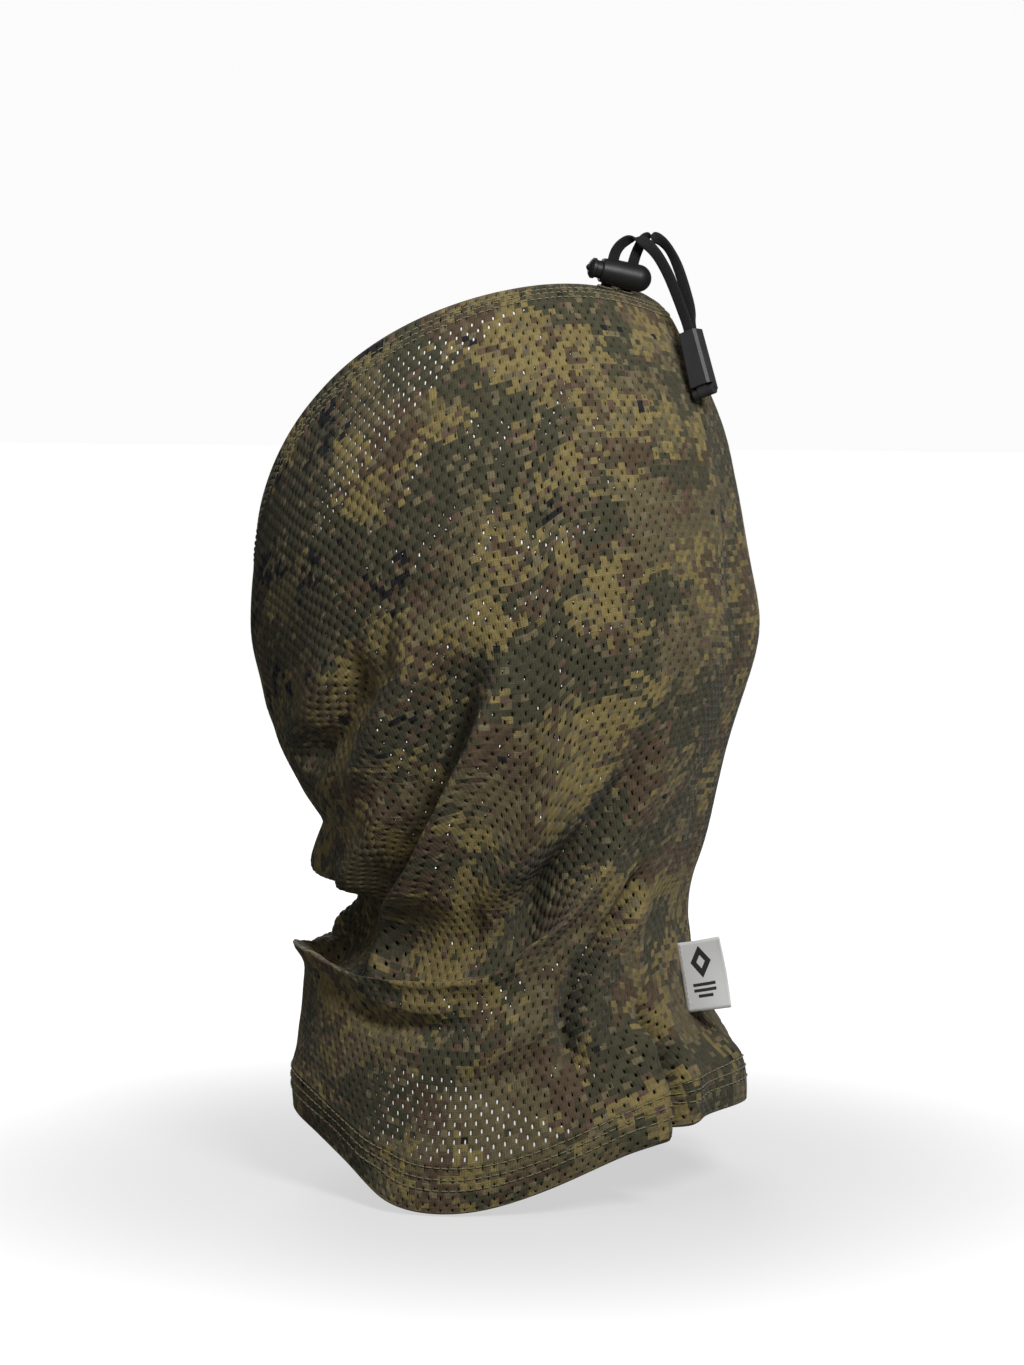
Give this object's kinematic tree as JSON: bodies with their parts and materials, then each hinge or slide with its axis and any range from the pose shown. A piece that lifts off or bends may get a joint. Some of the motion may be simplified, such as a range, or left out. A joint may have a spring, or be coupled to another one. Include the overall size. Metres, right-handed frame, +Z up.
{
  "type": "mesh face mask with drawcord",
  "caption": "Camouflage mesh tube worn over the head and face, with a drawcord casing, cord lock, cord-end clip, flared lower hem and back seam label.",
  "frame": {"origin": "centre of the wearer's head, which holds the mask up", "axes": "+Z up, the face towards -X, the wearer's left side towards -Y"},
  "size_m": [0.2262, 0.1916, 0.4193],
  "materials": {
    "camo_mesh": "matt polyester mesh with a printed pixel camouflage",
    "thread": "spun polyester thread",
    "label_weave": "satin woven label",
    "label_thread": "spun thread",
    "cord_braid": "flat black braid",
    "lock_plastic": "satin moulded black",
    "clip_plastic": "satin moulded dark grey",
    "spring_steel": "drawn wire"
  },
  "bodies": {
    "mask": {"mesh_tube": "camo_mesh", "top_casing": "camo_mesh", "bottom_hem": "camo_mesh", "back_seam": "thread", "casing_stitching": "thread", "hem_stitching": "thread", "label": "label_weave", "label_bartack": "label_thread", "buttonhole_front": "thread", "buttonhole_back": "thread", "drawcord": "cord_braid", "cord_strand_front": "cord_braid", "cord_strand_back": "cord_braid", "cord_knot": "cord_braid", "clip_base": "clip_plastic"},
    "lock": {"lock_barrel": "lock_plastic", "lock_spring": "spring_steel"},
    "plunger": {"lock_plunger": "lock_plastic"},
    "lid": {"clip_lid": "clip_plastic"}
  },
  "joints": [
    {"name": "lock_slide", "type": "slide", "parent": "mask", "child": "lock", "axis": [0.2948, -0.065, 0.9533], "range_m": [0, 0.003]},
    {"name": "button_press", "type": "slide", "parent": "lock", "child": "plunger", "axis": [0.8124, 0.5422, -0.2143], "range_m": [0, 0.002], "stiffness_N_per_m": 500, "springref_m": -0.003, "deforming": ["lock_spring"]},
    {"name": "lid_hinge", "type": "hinge", "parent": "mask", "child": "lid", "pos_m": [0.101, -0.0159, 0.0764], "axis": [0.9238, -0.2059, 0.3229], "range_deg": [0, 100]}
  ]
}
